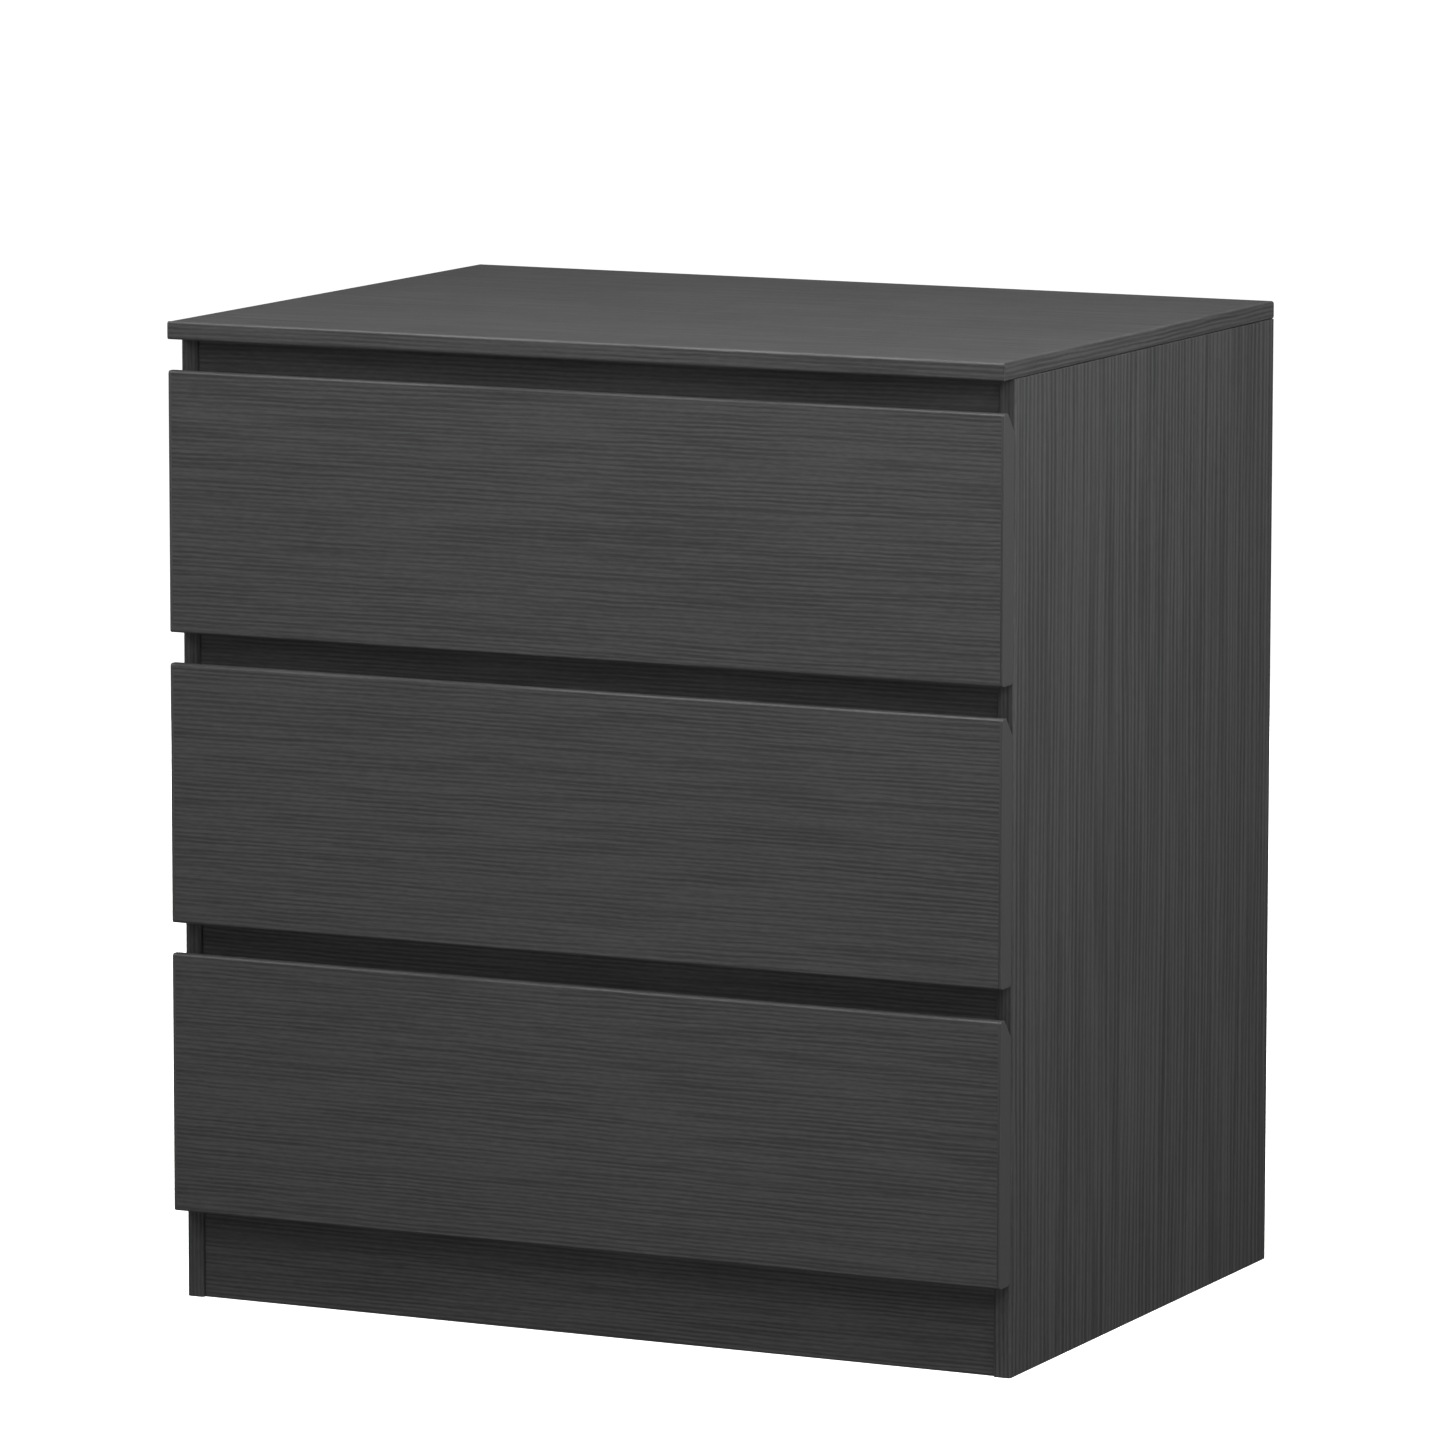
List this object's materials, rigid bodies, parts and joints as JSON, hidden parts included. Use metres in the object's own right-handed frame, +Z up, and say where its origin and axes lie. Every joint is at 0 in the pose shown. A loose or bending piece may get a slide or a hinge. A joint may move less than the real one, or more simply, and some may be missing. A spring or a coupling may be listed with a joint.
{
  "type": "nightstand",
  "caption": "Free-standing charcoal wood-grain nightstand with handle-less full-overlay drawers on roller runners, finger gaps above each drawer and a recessed plinth.",
  "frame": {"origin": "on the floor, at the middle of the footprint", "axes": "+Z up, +Y to the back, so that the drawers open along -Y; +X to the right when facing the front"},
  "size_m": [0.6, 0.448, 0.655],
  "materials": {
    "charcoal_woodgrain": "satin charcoal laminate with a fine embossed wood grain on particle board",
    "woodgrain_edge_band": "satin edge band printed with the same charcoal grain",
    "smooth_edge_band": "smooth satin charcoal edge band",
    "drawer_box_laminate": "plain matt dark grey laminate on particle board",
    "hardboard": "thin fibre board, brown and bare on the outside",
    "black_coated_steel": "black powder-coated rolled steel",
    "white_nylon": "moulded off-white nylon",
    "zinc_die_cast": "die-cast zinc, dull",
    "zinc_plated_steel": "zinc-plated steel",
    "beech": "bare turned beech"
  },
  "bodies": {
    "root": {"top_panel": "charcoal_woodgrain", "top_panel_edge_bands": "woodgrain_edge_band", "left_side_panel": "charcoal_woodgrain", "right_side_panel": "charcoal_woodgrain", "side_panel_edge_bands": "woodgrain_edge_band", "back_panel": "hardboard", "top_rail": "charcoal_woodgrain", "upper_middle_rail": "charcoal_woodgrain", "lower_middle_rail": "charcoal_woodgrain", "front_plinth": "charcoal_woodgrain", "rear_bottom_rail": "charcoal_woodgrain", "carcass_cam_locks": "zinc_die_cast", "carcass_cam_bolts": "zinc_plated_steel", "carcass_dowels": "beech", "cabinet_runner_screws": "zinc_plated_steel", "top_left_cabinet_runner": "black_coated_steel", "top_right_cabinet_runner": "black_coated_steel", "middle_left_cabinet_runner": "black_coated_steel", "middle_right_cabinet_runner": "black_coated_steel", "bottom_left_cabinet_runner": "black_coated_steel", "bottom_right_cabinet_runner": "black_coated_steel"},
    "top_drawer": {"top_drawer_front": "charcoal_woodgrain", "top_drawer_front_edge_bands": "smooth_edge_band", "top_drawer_left_side": "drawer_box_laminate", "top_drawer_right_side": "drawer_box_laminate", "top_drawer_back": "drawer_box_laminate", "top_drawer_bottom": "hardboard", "top_drawer_left_runner": "black_coated_steel", "top_drawer_right_runner": "black_coated_steel", "top_drawer_cam_locks": "zinc_die_cast", "top_drawer_cam_bolts": "zinc_plated_steel", "top_drawer_runner_screws": "zinc_plated_steel"},
    "top_fixed_rollers": {"top_cabinet_rollers": "white_nylon"},
    "top_drawer_rollers": {"top_drawer_rear_rollers": "white_nylon"},
    "middle_drawer": {"middle_drawer_front": "charcoal_woodgrain", "middle_drawer_front_edge_bands": "smooth_edge_band", "middle_drawer_left_side": "drawer_box_laminate", "middle_drawer_right_side": "drawer_box_laminate", "middle_drawer_back": "drawer_box_laminate", "middle_drawer_bottom": "hardboard", "middle_drawer_left_runner": "black_coated_steel", "middle_drawer_right_runner": "black_coated_steel", "middle_drawer_cam_locks": "zinc_die_cast", "middle_drawer_cam_bolts": "zinc_plated_steel", "middle_drawer_runner_screws": "zinc_plated_steel"},
    "middle_fixed_rollers": {"middle_cabinet_rollers": "white_nylon"},
    "middle_drawer_rollers": {"middle_drawer_rear_rollers": "white_nylon"},
    "bottom_drawer": {"bottom_drawer_front": "charcoal_woodgrain", "bottom_drawer_front_edge_bands": "smooth_edge_band", "bottom_drawer_left_side": "drawer_box_laminate", "bottom_drawer_right_side": "drawer_box_laminate", "bottom_drawer_back": "drawer_box_laminate", "bottom_drawer_bottom": "hardboard", "bottom_drawer_left_runner": "black_coated_steel", "bottom_drawer_right_runner": "black_coated_steel", "bottom_drawer_cam_locks": "zinc_die_cast", "bottom_drawer_cam_bolts": "zinc_plated_steel", "bottom_drawer_runner_screws": "zinc_plated_steel"},
    "bottom_fixed_rollers": {"bottom_cabinet_rollers": "white_nylon"},
    "bottom_drawer_rollers": {"bottom_drawer_rear_rollers": "white_nylon"}
  },
  "joints": [
    {"name": "top_drawer_slide", "type": "slide", "parent": "root", "child": "top_drawer", "axis": [0, -1, 0], "range_m": [0, 0.3]},
    {"name": "top_fixed_roller_spin", "type": "hinge", "parent": "root", "child": "top_fixed_rollers", "pos_m": [0, -0.189, 0.478], "axis": [1, 0, 0], "range_deg": [-5, 1567.6]},
    {"name": "top_rear_roller_spin", "type": "hinge", "parent": "top_drawer", "child": "top_drawer_rollers", "pos_m": [0, 0.18, 0.478], "axis": [1, 0, 0], "range_deg": [-5, 1567.6]},
    {"name": "middle_drawer_slide", "type": "slide", "parent": "root", "child": "middle_drawer", "axis": [0, -1, 0], "range_m": [0, 0.3]},
    {"name": "middle_fixed_roller_spin", "type": "hinge", "parent": "root", "child": "middle_fixed_rollers", "pos_m": [0, -0.189, 0.284], "axis": [1, 0, 0], "range_deg": [-5, 1567.6]},
    {"name": "middle_rear_roller_spin", "type": "hinge", "parent": "middle_drawer", "child": "middle_drawer_rollers", "pos_m": [0, 0.18, 0.284], "axis": [1, 0, 0], "range_deg": [-5, 1567.6]},
    {"name": "bottom_drawer_slide", "type": "slide", "parent": "root", "child": "bottom_drawer", "axis": [0, -1, 0], "range_m": [0, 0.3]},
    {"name": "bottom_fixed_roller_spin", "type": "hinge", "parent": "root", "child": "bottom_fixed_rollers", "pos_m": [0, -0.189, 0.09], "axis": [1, 0, 0], "range_deg": [-5, 1567.6]},
    {"name": "bottom_rear_roller_spin", "type": "hinge", "parent": "bottom_drawer", "child": "bottom_drawer_rollers", "pos_m": [0, 0.18, 0.09], "axis": [1, 0, 0], "range_deg": [-5, 1567.6]}
  ],
  "couplings": [
    {"joint": "top_fixed_roller_spin", "follows": "top_drawer_slide", "rad_per_m": 90.909},
    {"joint": "top_rear_roller_spin", "follows": "top_drawer_slide", "rad_per_m": 90.909},
    {"joint": "middle_fixed_roller_spin", "follows": "middle_drawer_slide", "rad_per_m": 90.909},
    {"joint": "middle_rear_roller_spin", "follows": "middle_drawer_slide", "rad_per_m": 90.909},
    {"joint": "bottom_fixed_roller_spin", "follows": "bottom_drawer_slide", "rad_per_m": 90.909},
    {"joint": "bottom_rear_roller_spin", "follows": "bottom_drawer_slide", "rad_per_m": 90.909}
  ]
}
